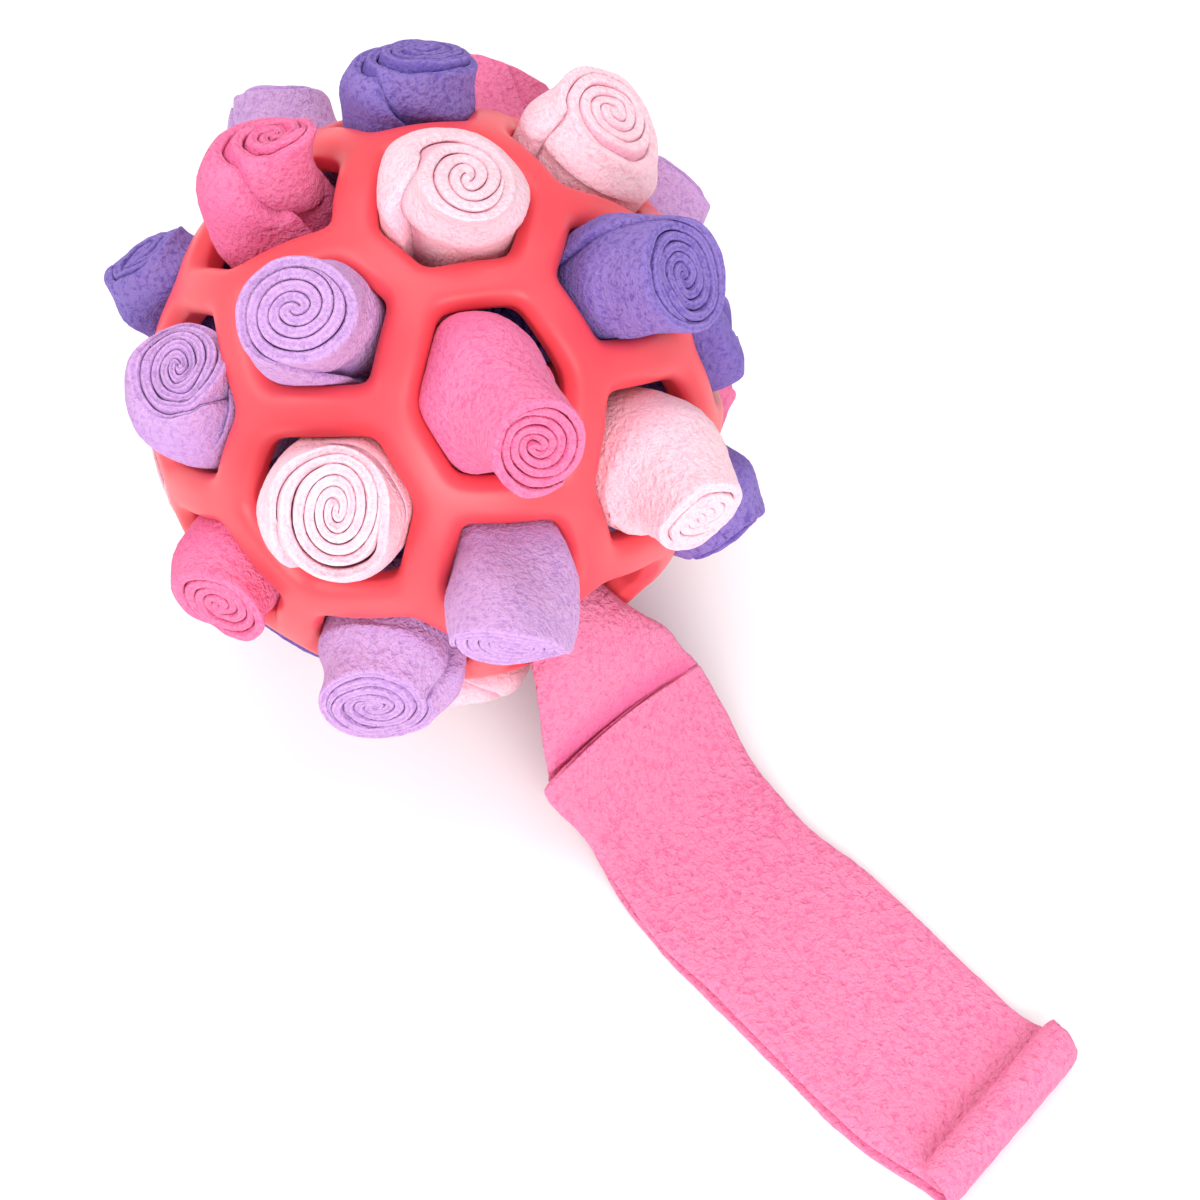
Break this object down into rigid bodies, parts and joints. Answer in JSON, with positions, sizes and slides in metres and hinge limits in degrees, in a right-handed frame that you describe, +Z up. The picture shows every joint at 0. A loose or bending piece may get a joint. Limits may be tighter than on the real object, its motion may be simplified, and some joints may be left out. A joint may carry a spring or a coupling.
{
  "type": "dog snuffle ball",
  "caption": "Rubber lattice ball with a rolled fleece strip pushed into each hole and one strip pulled out and laid flat, a puzzle toy in which a dog sniffs for hidden treats.",
  "frame": {"origin": "on the surface that the ball stands on, below the ball's centre, on the flat foot of the lowest roll", "axes": "+Z is up; +X runs along the pulled-out strip to its curled end, the longest extent; +Y completes the right-handed frame"},
  "size_m": [0.3276, 0.187, 0.1835],
  "materials": {
    "rubber_coral": "satin moulded rubber",
    "fleece_hot_pink": "brushed polyester fleece with a pebbly nap",
    "fleece_pale_pink": "brushed polyester fleece with a pebbly nap",
    "fleece_lilac": "brushed polyester fleece with a pebbly nap",
    "fleece_purple": "brushed polyester fleece with a pebbly nap",
    "fleece_strip_pink": "brushed polyester fleece with a pebbly nap"
  },
  "bodies": {
    "root": {"ball_shell": "rubber_coral", "roll_00_purple": "fleece_purple", "roll_01_purple": "fleece_purple", "roll_02_lilac": "fleece_lilac", "roll_03_lilac": "fleece_lilac", "roll_04_hot": "fleece_hot_pink", "roll_05_purple": "fleece_purple", "roll_06_pale": "fleece_pale_pink", "roll_07_lilac": "fleece_lilac", "roll_08_purple": "fleece_purple", "roll_09_pale": "fleece_pale_pink", "roll_10_lilac": "fleece_lilac", "roll_11_hot": "fleece_hot_pink", "roll_12_pale": "fleece_pale_pink", "roll_13_pale": "fleece_pale_pink", "roll_14_hot": "fleece_hot_pink", "roll_15_lilac": "fleece_lilac", "roll_16_hot": "fleece_hot_pink", "roll_17_purple": "fleece_purple", "roll_18_hot": "fleece_hot_pink", "roll_19_pale": "fleece_pale_pink", "roll_20_purple": "fleece_purple", "roll_21_hot": "fleece_hot_pink", "roll_22_pale": "fleece_pale_pink", "roll_24_lilac": "fleece_lilac", "roll_25_pale": "fleece_pale_pink", "roll_26_lilac": "fleece_lilac", "roll_27_purple": "fleece_purple", "roll_28_hot": "fleece_hot_pink", "roll_29_lilac": "fleece_lilac", "roll_30_pale": "fleece_pale_pink", "roll_31_purple": "fleece_purple", "unrolled_strip": "fleece_strip_pink"}
  },
  "joints": []
}
